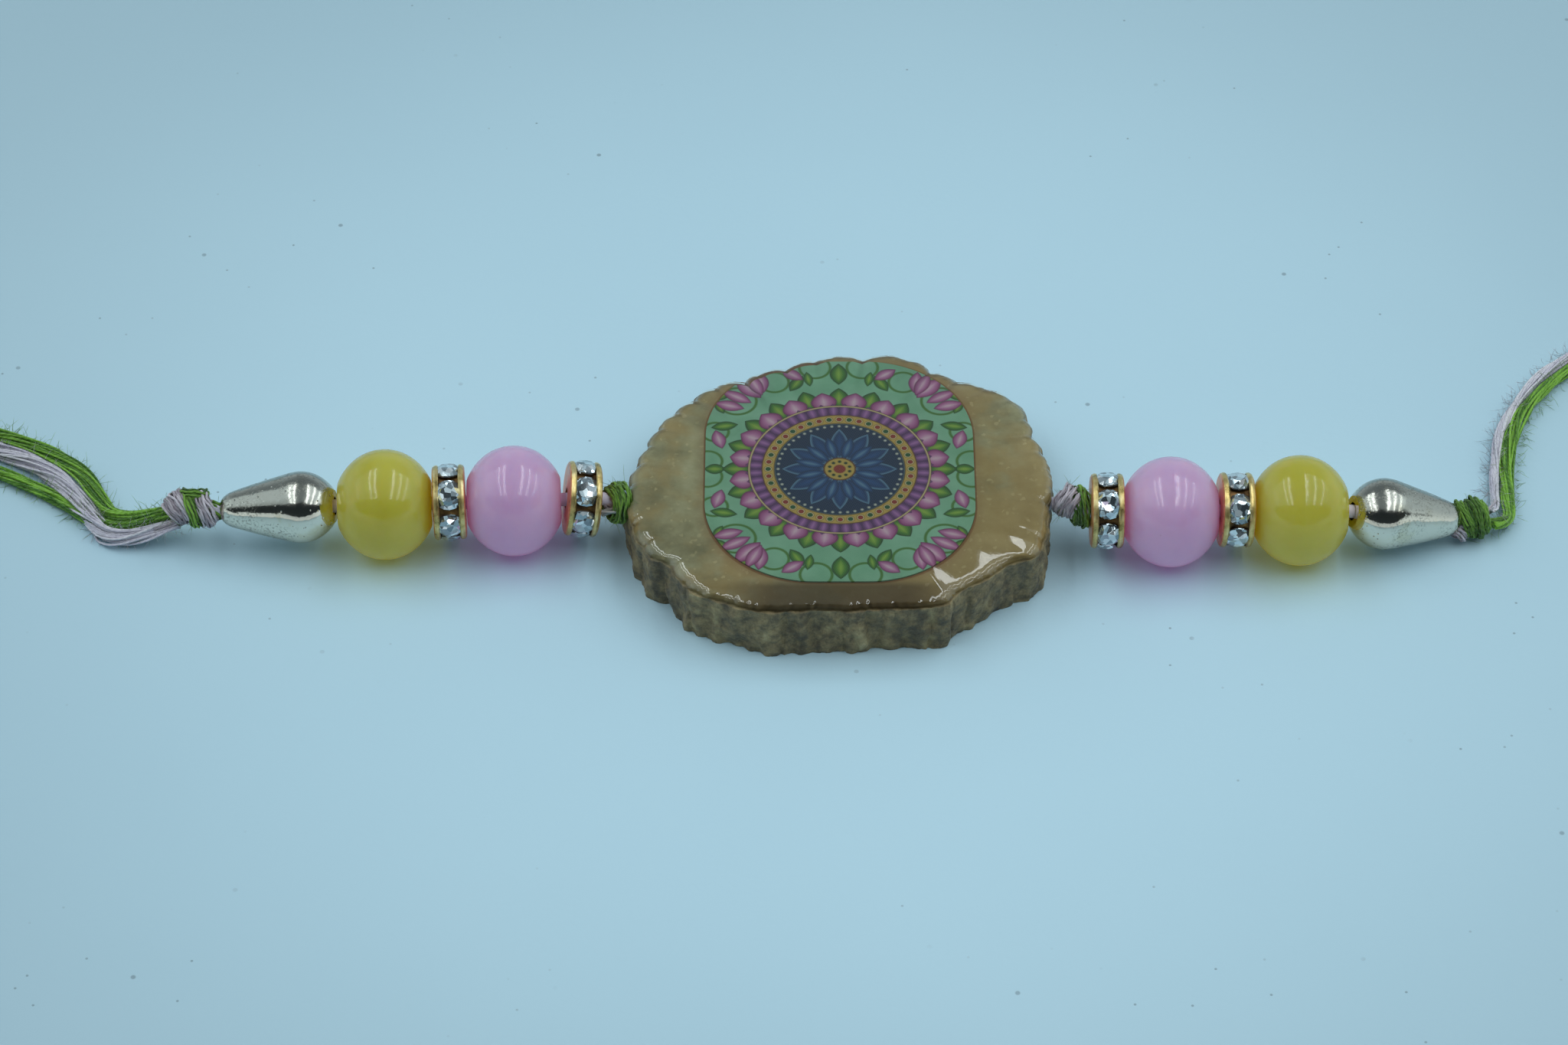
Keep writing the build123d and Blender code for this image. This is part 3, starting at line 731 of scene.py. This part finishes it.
def tie_neck(yarn, middle, neck):
    """Strands that run side by side with a slight twist."""
    start, end = (
        middle + (RIGHT * x + RISING * y + NEAR * z) * MM for x, y, z in (neck.start, neck.end)
    )
    along = (end - start).normalized()
    across = along.orthogonal().normalized()
    other = along.cross(across)
    for turn, ring in spread_out(neck.strands):
        line = []
        for t in np.linspace(0, 1, 12):
            angle = turn + 1.2 * t
            reach = ring * (neck.thick + (neck.thin - neck.thick) * t) * MM
            away = across * cos(angle) + other * sin(angle)
            line.append(start.lerp(end, t) + away * reach)
        width = STRAND_RADIUS * (1.2 if neck.colour == NYLON else 1.4)
        yarn.strand(line, width, neck.colour, tint=random.uniform(0.05, 0.95))


LEAD_STRANDS = 16
LEAD_RADIUS = 0.00045


def tie_lead(yarn, middle, line, colour):
    """Strands from the middle of a knot into the start of a tail."""
    first, later = Vector(line[0]), Vector(line[5])
    for turn, ring in spread_out(LEAD_STRANDS):
        aside = Vector((0.4 * cos(turn), cos(turn), sin(turn))) * ring * LEAD_RADIUS
        path = []
        for t in np.linspace(0, 1, 14):
            point = middle.lerp(first, t).lerp(first.lerp(later, t), t)
            path.append(point + aside * (0.7 + 0.3 * t))
        yarn.strand(path, STRAND_RADIUS, colour, tint=random.uniform(0.2, 0.95))


def knot(place, parts, colour, wraps, leads=()):
    """A tied knot at the middle of the frame's wraps that it stands for."""
    name = f"{place}_knot"
    replaced = [f"{place}_{wrap}" for wrap in wraps]
    lows, highs = zip(*(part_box(node) for node in replaced))
    low = Vector(min(corner[k] for corner in lows) for k in range(3))
    high = Vector(max(corner[k] for corner in highs) for k in range(3))
    middle = (low + high) / 2
    yarn = Yarn()
    for part in parts:
        (tie_strap if isinstance(part, Strap) else tie_neck)(yarn, middle, part)
    for tail, strands in leads:
        tie_lead(yarn, middle, tail_lines[tail], strands)
    add_fuzz(yarn, yarn.points[::7], KNOT_FIBRES, KNOT_FIBRE_LENGTH, clear=0)
    return add_piece(name, yarn.mesh(), knot_paints, f"{colour}_floss", *replaced)


knot(
    "left_inner",
    [
        Neck((0.6, -0.1, 0), (-0.7, -0.1, 0), 1.05, 0.55, 16, PINK),
        Neck((0.35, -0.75, 0.9), (-0.95, -1, 0.5), 0.3, 0.25, 4, NYLON),
        Strap(0.3, -0.2, 10, 1.55, 1.35, 0.5, 8, GREEN),
        Strap(0.55, -0.15, 4, 1.72, 1.55, 0.45, 7, GREEN),
        Strap(0.15, -0.3, 18, 1.35, 1.25, 0.35, 4, GREEN),
    ],
    "green", ["green_wrap", "pink_wrap"],
)
knot(
    "right_inner",
    [
        Neck((-1.3, 0.2, 0), (0.2, 0.4, 0), 0.35, 1.2, 12, PINK),
        Neck((0, 0, 0), (1.1, 0, 0), 1.15, 0.8, 14, GREEN),
        Strap(0.35, 0, 14, 1.45, 1.25, 0.2, 6, GREEN),
        Strap(0.85, 0.05, 8, 1.72, 1.5, 0.15, 6, GREEN),
        Strap(-0.12, 0.48, -34, 1.26, 1.6, -0.2, 10),
        Strap(-0.52, 0.28, -24, 1, 1.3, -0.3, 7),
    ],
    "green", ["green_wrap", "pink_wrap"],
)
knot(
    "left_outer",
    [
        Neck((0.45, 0, 0), (1.45, 0, 0), 0.85, 0.65, 16, GREEN),
        Neck((-1, 0.1, 0), (0.6, 0, 0), 1.15, 0.95, 18, PINK),
        Strap(-2.15, 0.3, 38, 1.25, 1.05, 0, 10), Strap(-1.55, 0.2, 30, 1.35, 1.15, 0, 6),
        Strap(-1.02, 0.15, 19, 1.55, 1.3, 0, 5, GREEN), Strap(0, 0.1, 24, 1.52, 1.4, 0.1, 7),
        Strap(-0.85, 1.38, 86, 1.15, 1.15, 0, 4, GREEN),
    ],
    "pink", ["pink_wrap_1", "green_wrap_2", "pink_wrap_3"],
    leads=(("left_green_tail", GREEN), ("left_split_tail", GREEN), ("left_pink_tail", PINK)),
)
knot(
    "right_outer",
    [
        Neck((-1.5, 0, 0), (1.2, 0.3, 0), 0.7, 0.9, 20, GREEN),
        Strap(-1.1, -0.75, 52, 0.95, 0.8, 0, 6),
        Strap(-0.62, 0.2, 28, 1.62, 1.25, 0, 5, GREEN),
        Strap(0.3, 0.35, 18, 1.72, 1.35, 0.1, 7, GREEN),
        Strap(0.75, 0.35, 2, 1.35, 1.2, 0.2, 4, GREEN),
        Strap(0.15, 0.75, -34, 1.15, 1.2, 0, 3, GREEN),
        Strap(-0.15, 0.25, 62, 1.3, 1.3, 0.1, 3, GREEN),
    ],
    "green", ["pink_wrap_1", "green_wrap_2", "green_wrap_3"],
    leads=(("right_green_tail", GREEN), ("right_pink_tail", PINK)),
)


END_KNOT_HEIGHT = 0.0019
BRUSH_START = 0.001
BRUSH_STRANDS = 40
BRUSH_FIBRES = 60


def end_tie(side, sign):
    """The knot over both tie threads and the frayed ends past it."""
    name, node = f"{side}_end_tie", f"{side}_end_knot"
    low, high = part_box(node)
    start = Vector((low.x if sign > 0 else high.x, (low.y + high.y) / 2, END_KNOT_HEIGHT))
    yarn = Yarn()
    for away, lean, half, strands, colour in (
        (0.6, 12, 1.15, 5, GREEN), (1.6, 22, 1.6, 8, PINK),
        (2.7, -16, 1.62, 8, GREEN), (3.8, -8, 1.2, 5, PINK),
    ):
        tie_strap(yarn, start, Strap(sign * away, 0, lean, half, half, 0.1, strands, colour))
    for number in range(BRUSH_STRANDS):
        angle, ring = number * GOLDEN_ANGLE, sqrt(number / BRUSH_STRANDS)
        flare = Vector((0, cos(angle), sin(angle)))
        length = (high.x - low.x) * random.uniform(0.88, 1)
        line = []
        for t in np.linspace(0, 1, 14):
            spread = ring * (0.0005 + 0.0013 * t**1.5)
            run = BRUSH_START + (length - BRUSH_START) * t
            droop = END_KNOT_HEIGHT / 2 * t**2
            point = start + Vector((sign * run, 0, -droop)) + flare * spread
            point.y += 0.0004 * wander(number, t * 2.5)
            line.append(point)
        yarn.strand(line, STRAND_RADIUS, PINK if number % 2 else GREEN, sides=8, tips=(1, 0.5))
    stem = [start + Vector((sign * x, 0, 0)) for x in (0.003, 0.006, 0.009)]
    add_fuzz(yarn, stem, BRUSH_FIBRES, KNOT_FIBRE_LENGTH)
    return add_piece(name, yarn.mesh(), knot_paints, "green_floss", node)


ties = {"left": end_tie("left", -1), "right": end_tie("right", 1)}


# Slab, resin and print

slab_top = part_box("centre_stone")[1].z
resin_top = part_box("resin_coat")[1].z
print_low, print_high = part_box("print_panel")
SHOULDER_DROP = 0.0005    # the frame's slab has the edge of its wall this far under its top
LEAST_REACH = 0.011       # that edge lies farther out than this
SAME_HEIGHT = 2e-5
rim = np.array([v.co for v in nodes["centre_stone"].data.vertices])
rim = rim[np.abs(rim[:, 2] - (slab_top - SHOULDER_DROP)) < SAME_HEIGHT]
rim = rim[np.hypot(rim[:, 0], rim[:, 1]) > LEAST_REACH]
rim_reach = np.hypot(rim[:, 0], rim[:, 1])
rim_turn = np.arctan2(rim[:, 1], rim[:, 0])
RING = 900
# The slab's worn edge all round: the direction and how far out it lies
edge = []
for k in range(RING):
    turn = TURN * k / RING
    reach = float(np.interp(turn, rim_turn, rim_reach, period=TURN))
    edge.append((cos(turn), sin(turn), reach))


def ring_mesh(levels, profile, bottom=True):
    """A skin of rings of points from the bottom up, closed on top and maybe at the bottom.

    The profile says how far out and how high the skin is in one direction on one level.
    """
    points, faces = [], []
    for level in range(levels):
        for x, y, reach in edge:
            out, z = profile(x, y, reach, level)
            points.append((x * out, y * out, z))
    last = (levels - 1) * RING
    points.append(np.mean(points[last:], 0))
    for a in range(RING):
        b = (a + 1) % RING
        faces.append((last + a, last + b, last + RING))
        for here in range(0, last, RING):
            faces.append((here + a, here + b, here + RING + b, here + RING + a))
    if bottom:
        faces.append(tuple(reversed(range(RING))))
    return new_mesh(points, faces)


def rough_wall(x, y, z):
    """How far the broken wall stands out at a place: upright grooves, lumps and small chips."""
    x, y, z = x / MM, y / MM, z / MM
    groove = ripple(x * 0.42, y * 0.42, z * 0.05 + 3)
    groove = -0.22 * exp(-((groove / 0.1) ** 2))
    flute = ripple(x * 0.7, y * 0.7, z * 0.12) * 0.3
    lump = ripple(x * 0.9 + 7, y * 0.9, z * 0.6) * 0.26
    facet = 0.3 * (0.5 - noise.voronoi(Vector((x * 0.8, y * 0.8, z * 0.45)))[0][0])
    chip = noise.fractal(Vector((x * 2.6, y * 2.6, z * 1.8)), 0.6, 2.2, 4) * 0.07
    return (0.1 + groove + flute + lump + facet + chip) * MM


WALL_LEVELS, TOP_LEVELS, RESIN_LEVELS = 38, 25, 56
EDGE_DROP = 0.0003        # how far the top bends down at the worn edge, and over what width
EDGE_WIDTH = 0.0003


def slab_profile(x, y, reach, level):
    """The slab's broken wall, then its flat top with a worn edge."""
    if level < WALL_LEVELS:
        t = level / (WALL_LEVELS - 1)
        z = (slab_top - EDGE_DROP) * t
        foot = 0.00012 * (1 - t) ** 4 + 0.00004
        return reach - foot + rough_wall(x * reach, y * reach, z) * (1 - 0.65 * t**8), z
    t = (level - WALL_LEVELS + 1) / (TOP_LEVELS + 1)
    out = reach * (1 - t**1.6) + rough_wall(x * reach, y * reach, slab_top) * 0.3 * (1 - t)
    return out, slab_top - EDGE_DROP * exp(-(((reach - out) / EDGE_WIDTH) ** 2))


RESIN_FOOT = slab_top - 0.00012
RESIN_DOME = 0.00034
LIP_HEIGHT = resin_top - RESIN_DOME - RESIN_FOOT
LIP_WIDTH = 0.0009


def resin_profile(x, y, reach, level):
    """A thin clear coat: a round lip of uneven width along its edge, then almost flat."""
    t = level / (RESIN_LEVELS - 1)
    width = 0.0042 + 0.0014 * ripple(x * 3.1, y * 3.1, 3)
    start = 0.0001 + 0.00009 * noise.fractal(Vector((x * 26, y * 26, 1)), 0.7, 2.1, 3)
    inward = start + (reach - start) * t**2.1
    out = reach - inward
    lip = 1 - (1 - min((inward - start) / LIP_WIDTH, 1)) ** 2.6
    slope = 1 - (1 - min(inward / width, 1)) ** 2
    wave = 0.000035 * ripple(x * out / 0.006, y * out / 0.006, 0)
    dome = RESIN_DOME * (1 - (out / reach) ** 2) + wave
    return out, RESIN_FOOT + (LIP_HEIGHT + dome) * (lip + slope) / 2


PRINT_CORNER = 0.0088     # radius of the print's corners


def stone_paint():
    """Broken golden stone under a pearly face that goes grey at its edge and amber by the print,
    with painted shade at its front middle.
    """
    paint = Paint("slab_stone")
    x, y, z = paint.axes(paint.where)
    mottle = paint.noise(0.0011, detail=8, roughness=0.72)
    column = paint.noise(0.002, detail=5, stretch=(1, 1, 0.3))
    blend = paint.weigh((mottle, 0.72), (column, 0.28))
    wall = paint.ramp(
        blend, (0.34, (0.055, 0.042, 0.024)), (0.44, (0.12, 0.092, 0.048)),
        (0.52, (0.225, 0.17, 0.082)), (0.61, (0.36, 0.285, 0.145)), (0.71, (0.54, 0.45, 0.26)),
    )
    cloud = paint.noise(0.0046, detail=6, roughness=0.62)
    face = paint.ramp(
        cloud, (0.32, (0.215, 0.213, 0.125)), (0.5, (0.355, 0.35, 0.225)),
        (0.7, (0.5, 0.5, 0.35)),
    )
    honey = paint.patches(0.0105, 0.4, 0.56, detail=4, roughness=0.6)
    face = paint.stain(face, (0.415, 0.285, 0.095), honey, 0.6)
    flake = paint.fade(paint.cells(0.00028, "Color"), 0.8, 0.95)
    face = paint.stain(face, (0.72, 0.64, 0.4), flake, 0.34)
    centre = tuple(centre_of("print_panel"))
    half = (print_high - print_low) / 2
    local = paint.vector("ABSOLUTE", paint.vector("SUBTRACT", paint.where, centre))
    past = paint.vector("SUBTRACT", local, (half.x - PRINT_CORNER, half.y - PRINT_CORNER, 1))
    past = paint.vector("MAXIMUM", past, (0, 0, 0))
    gap = paint.minus(paint.vector("LENGTH", past), PRINT_CORNER)
    face = paint.stain(face, (0.24, 0.13, 0.04), paint.fade(gap, 0.0012, 0), 0.35)
    face = paint.stain(face, (0.2, 0.075, 0.02), paint.fade(gap, 0.00022, 0.00008), 0.75)
    # Painted shade: a dark amber band at the front middle of the top, for the darkness seen through
    # the resin's front lip there.
    front = paint.fade(y, -0.0113, -0.0124)
    middle = paint.fade(paint.size(x), 0.0105, 0.005)
    face = paint.stain(face, (0.085, 0.05, 0.014), paint.times(front, middle), 0.82)
    on_top = paint.fade(z, slab_top - 0.00035, slab_top - 0.0001)
    colour = paint.mix(on_top, wall, face)
    relief = paint.weigh((mottle, 1), (paint.noise(0.0005, detail=4), 0.7))
    depth = paint.minus(1, paint.times(on_top, 0.9))
    return paint.surface(
        Base_Color=colour, Roughness=0.5, Specular_IOR_Level=0.5,
        Metallic=paint.times(paint.fade(blend, 0.5, 0.62), 0.16),
        Normal=paint.bump(paint.times(relief, depth), 0.00028, 0.8),
    )


def resin_paint():
    """Clear gloss: what lies under it shows, and it mirrors the lamps."""
    paint = Paint("clear_resin")
    wave = paint.bump(paint.noise(0.004, detail=1), 0.00003, 0.5)
    fresnel = paint.node("Fresnel", 1.6)
    paint.put(fresnel.inputs["Normal"], wave)
    gloss = paint.node("BsdfGlossy", (1, 1, 1), 0.04)
    paint.put(gloss.inputs["Normal"], wave)
    clear = paint.node("BsdfTransparent", (0.97, 0.95, 0.88)).outputs[0]
    return paint.finish(paint.mixed(fresnel.outputs[0], clear, gloss.outputs[0]))


slab = ring_mesh(WALL_LEVELS + TOP_LEVELS, slab_profile)
resin = ring_mesh(RESIN_LEVELS, resin_profile, bottom=False)
add_piece("slab", slab, [stone_paint()], "slab_stone", "centre_stone")
add_piece("resin", resin, [resin_paint()], "clear_resin", "resin_coat")


SOFT = 0.07               # millimetres over which one printed colour goes over into the next
WHOLE_TURNS = 100         # keeps the shares of a turn positive
RASTER = 0.21             # millimetres from one dot of the print's screen to the next


def print_paint():
    """A printed rosette: a navy boss in rings of gold, purple, pink and green on a mint ground."""
    paint = Paint("printed_sheet")
    centre = tuple(centre_of("print_panel"))
    local = paint.vector("SCALE", paint.vector("SUBTRACT", paint.where, centre))
    local.node.inputs["Scale"].default_value = 1 / MM
    x, y, _ = paint.axes(local)

    def distance(px, py):
        squares = paint.plus(paint.math("POWER", px, 2), paint.math("POWER", py, 2))
        return paint.math("SQRT", squares)

    def sector(count, turned=0):
        """Across and along inside the nearest of count equal sectors."""
        share = paint.plus(paint.times(angle, count / TURN), turned + WHOLE_TURNS)
        bent = paint.times(paint.minus(paint.math("FRACT", share), 0.5), TURN / count)
        return [paint.times(reach, paint.math(wave, bent)) for wave in ("SINE", "COSINE")]

    # Each form is laid over the colour so far
    def fill(depth, width, stops):
        nonlocal colour
        inside = paint.fade(depth, 1 + SOFT / width, 1 - SOFT / width)
        colour = paint.mix(inside, colour, paint.ramp(depth, *stops))

    def lens(across, along, start, end, width, *stops):
        """A pointed petal from start to end, coloured by stops from its middle to its edge."""
        t = paint.fade(along, start, end)
        t.node.interpolation_type = "LINEAR"
        t.node.clamp = False
        rise = paint.math("POWER", paint.minus(paint.times(t, 2), 1), 2)
        depth = paint.plus(paint.math("DIVIDE", paint.size(across), width), rise)
        fill(depth, width, stops)

    def dot(across, along, at, radius, *stops):
        depth = paint.math("DIVIDE", distance(across, paint.minus(along, at)), radius)
        fill(depth, radius, stops)

    def ring(reach, low, high, tone):
        nonlocal colour
        after = paint.fade(reach, low - SOFT, low + SOFT)
        before = paint.fade(reach, high + SOFT, high - SOFT)
        colour = paint.mix(paint.times(after, before), colour, tone)

    cloud = paint.noise(0.0022, detail=3)
    colour = paint.ramp(cloud, (0.3, (0.18, 0.42, 0.295)), (0.7, (0.25, 0.52, 0.39)))
    reach, angle = distance(x, y), paint.math("ARCTAN2", y, x)
    dark_green, leaf_green, lime = (0.008, 0.035, 0.012), (0.07, 0.22, 0.03), (0.26, 0.44, 0.06)
    wine, magenta = (0.13, 0.02, 0.1), (0.3, 0.07, 0.24)
    rose, blush = (0.48, 0.2, 0.44), (0.66, 0.48, 0.64)
    red = (0.26, 0.03, 0.02)
    gold, cream, brown = (0.5, 0.37, 0.09), (0.66, 0.6, 0.34), (0.12, 0.045, 0.012)
    navy, blue, steel = (0.009, 0.027, 0.085), (0.02, 0.075, 0.24), (0.11, 0.24, 0.4)
    plum, lilac = (0.085, 0.03, 0.13), (0.36, 0.17, 0.46)
    petal_tones = ((0, blush), (0.4, rose), (0.8, magenta), (1, wine))
    leaf_tones = ((0, lime), (0.5, leaf_green), (0.82, (0.03, 0.11, 0.02)), (1, dark_green))

    # Sprigs in the corners, the same in each quarter
    wide, tall = paint.size(x), paint.size(y)

    def leaning(cx, cy, tilt):
        px, py = paint.minus(wide, cx), paint.minus(tall, cy)
        c, s = cos(radians(tilt)), sin(radians(tilt))
        return paint.weigh((px, c), (py, -s)), paint.weigh((px, s), (py, c))

    def sprigs(tones, *petals):
        for cx, cy, tilt, length, width in petals:
            lens(*leaning(cx, cy, tilt), 0, length, width, *tones)

    for cx, cy, radius in (
        (5.4, 10.4, 1.2), (10.3, 4.4, 1.1), (8.5, 8.1, 1.6), (2, 12.2, 1.3), (10.9, 0.9, 1.2),
    ):
        away = distance(*leaning(cx, cy, 0))
        ring(away, radius - 0.12, radius + 0.12, (0.07, 0.2, 0.035))
    sprigs(
        leaf_tones, (4.1, 9.3, -30, 2.2, 0.55), (8.4, 5.3, 100, 2.3, 0.55),
        (9.4, 0, 90, 1.8, 0.6), (0, 10.1, 0, 2.6, 0.75), (9, 9.4, 130, 1.9, 0.45),
        (2.4, 9.9, 10, 1.8, 0.4), (7.2, 10.6, 70, 1.7, 0.4), (9.6, 6.6, 25, 1.7, 0.4),
    )
    sprigs(
        petal_tones, (6.5, 8.5, 42, 3.1, 0.8), (6.3, 9.1, 8, 2.6, 0.62),
        (7.9, 7.2, 74, 2.6, 0.62), (6.4, 8.8, 25, 2.9, 0.6), (7.3, 7.9, 60, 2.9, 0.6),
        (3, 10.7, 55, 2.2, 0.6), (9.7, 2.4, 15, 2.3, 0.6),
    )

    # Rings of the rosette from the outside in
    lens(*sector(20, 0.5), 7.3, 9.7, 0.85, *leaf_tones)
    lens(*sector(20), 6.9, 9.2, 1.1, *petal_tones)
    ring(reach, 6.3, 7.5, plum)
    lens(*sector(48), 6.1, 7.8, 0.46, (0, lilac), (0.5, (0.2, 0.08, 0.28)), (1, plum))
    for low, high, tone in (
        (7.38, 7.58, brown), (7.42, 7.52, cream), (5.35, 6.45, brown), (5.45, 6.35, gold),
    ):
        ring(reach, low, high, tone)
    for turned, tone in ((0, red), (0.5, (0.015, 0.09, 0.03))):
        dot(*sector(22, turned), 5.9, 0.34, (0, tone), (0.6, tone), (0.75, cream), (1, brown))
    ring(reach, 0, 5.35, navy)
    dot(*sector(52, 0.5), 5.08, 0.13, (0, (0.62, 0.66, 0.6)), (1, (0.3, 0.36, 0.36)))
    lens(
        *sector(12, 0.5), 1.1, 4.8, 0.78,
        (0, blue), (0.6, (0.012, 0.042, 0.15)), (0.88, steel), (1, navy),
    )
    lens(*sector(12), 1.1, 3.9, 0.5, (0, steel), (0.5, blue), (1, navy))
    for high, tone in ((1.35, brown), (1.22, gold), (0.5, red)):
        ring(reach, 0, high, tone)
    dot(*sector(10), 0.86, 0.15, (0, dark_green), (1, dark_green))

    # The print's screen of fine pale dots
    slant, cross = (
        paint.math("SINE", paint.weigh((x, right * TURN / RASTER), (y, up * TURN / RASTER)))
        for right, up in ((0.94, 0.34), (-0.34, 0.94))
    )
    share = paint.plus(paint.times(paint.times(slant, cross), 0.05), 0.045)
    colour = paint.mix(share, colour, (0.42, 0.55, 0.55))
    return paint.surface(Base_Color=colour, Roughness=0.5, Specular_IOR_Level=0.3)


dress("print_panel", print_paint())


# Cut stones and their settings

def stone_glass():
    """Foil backed glass: small flat patches inside each facet mirror the room their own way, each
    with a painted tone from dark to near white.
    """
    paint = Paint("rhinestone_glass")
    patch = paint.cells(0.00048, "Color")
    tilt = paint.vector("SUBTRACT", patch, (0.5, 0.5, 0.5))
    normal = paint.normal()
    bent = paint.vector("ADD", normal, paint.vector("MULTIPLY", tilt, (0.9, 0.9, 0.9)))
    bent = paint.vector("NORMALIZE", bent)
    # Painted reflection: each patch's tone, from dark blue-grey to near white, stands in for what
    # its facet mirrors.
    shade = paint.ramp(
        paint.node("SeparateColor", patch).outputs[1],
        (0, (0.17, 0.22, 0.25)), (0.5, (0.54, 0.62, 0.66)), (1, (0.92, 0.96, 0.98)),
    )
    return paint.surface(
        Base_Color=shade, Metallic=0.9, Roughness=0.08, Normal=bent,
        Coat_Weight=1, Coat_Roughness=0.02,
    )


def setting_paint():
    paint = Paint("setting")
    patina = paint.noise(0.0008, detail=4)
    colour = paint.ramp(
        patina, (0.35, (0.03, 0.015, 0.006)), (0.6, (0.2, 0.1, 0.03)), (0.8, (0.42, 0.25, 0.08)),
    )
    return paint.surface(
        Base_Color=colour, Metallic=0.8, Roughness=0.4, Normal=paint.bump(patina, 0.00008, 0.8),
    )


# Rings of a cut stone's corners from the table down: how many, their share of the radius, their
# share of the depth, and by what share of a step they are turned
BRILLIANT_RINGS = (
    (8, 0.56, 0, 0), (8, 0.8, 0.14, 0.5), (16, 1, 0.33, 0), (16, 1, 0.41, 0), (8, 0.06, 1, 0),
)


def brilliant(node, axis, material):
    """A round brilliant in place of a frame stone: table, star, kite and girdle facets."""
    points = [v.co for v in nodes[node].data.vertices]
    heights = [axis.dot(p) for p in points]
    bottom, top = min(heights), max(heights)
    tip = points[heights.index(bottom)]
    on_table = [p for p, height in zip(points, heights) if height > top - SAME_HEIGHT]
    table = sum(on_table, Vector()) / len(on_table)
    radius = max(((p - tip) - axis * (p - tip).dot(axis)).length for p in points)
    depth = axis.dot(table) - bottom
    across = axis.orthogonal().normalized()
    deep = axis.cross(across)
    shape = bmesh.new()
    for count, share, sunk, turned in BRILLIANT_RINGS:
        for k in range(count):
            turn = TURN * (k + turned) / count
            outward = across * cos(turn) + deep * sin(turn)
            shape.verts.new(table - axis * depth * sunk + outward * radius * share)
    bmesh.ops.convex_hull(shape, input=shape.verts)
    made = bpy.data.meshes.new("mesh")
    shape.to_mesh(made)
    shape.free()
    return add_piece(f"{node}_cut", made, [material], "rhinestone_glass", node)


SETTING_STEPS = 96
# Cross section of the dark band between a wheel's rims: place along the hub, distance from it
SETTING_PROFILE = (
    (-0.001, 0.0014), (-0.001, 0.00262), (0, 0.00255), (0.001, 0.00262), (0.001, 0.0014),
)


def setting_band(wheel, material):
    """The dark metal band that holds a wheel's stones."""
    upward = wheel.hub.orthogonal().normalized()
    sideways = wheel.hub.cross(upward)
    size = len(SETTING_PROFILE)
    points, faces = [], []
    for k in range(SETTING_STEPS):
        turn = TURN * k / SETTING_STEPS
        spoke = upward * cos(turn) + sideways * sin(turn)
        for along, out in SETTING_PROFILE:
            points.append(wheel.middle + wheel.hub * along + spoke * out)
        here, after = k * size, (k + 1) % SETTING_STEPS * size
        for a in range(size):
            b = (a + 1) % size
            faces.append((here + a, here + b, after + b, after + a))
    band = new_mesh(points, faces, smooth=False)
    return add_piece(f"{wheel.name}_setting", band, [material], "plated_brass")


glass = stone_glass()
setting = setting_paint()
for wheel in wheels:
    for stone, spoke in zip(wheel.stones, wheel.spokes):
        brilliant(stone, spoke, glass)
    setting_band(wheel, setting)
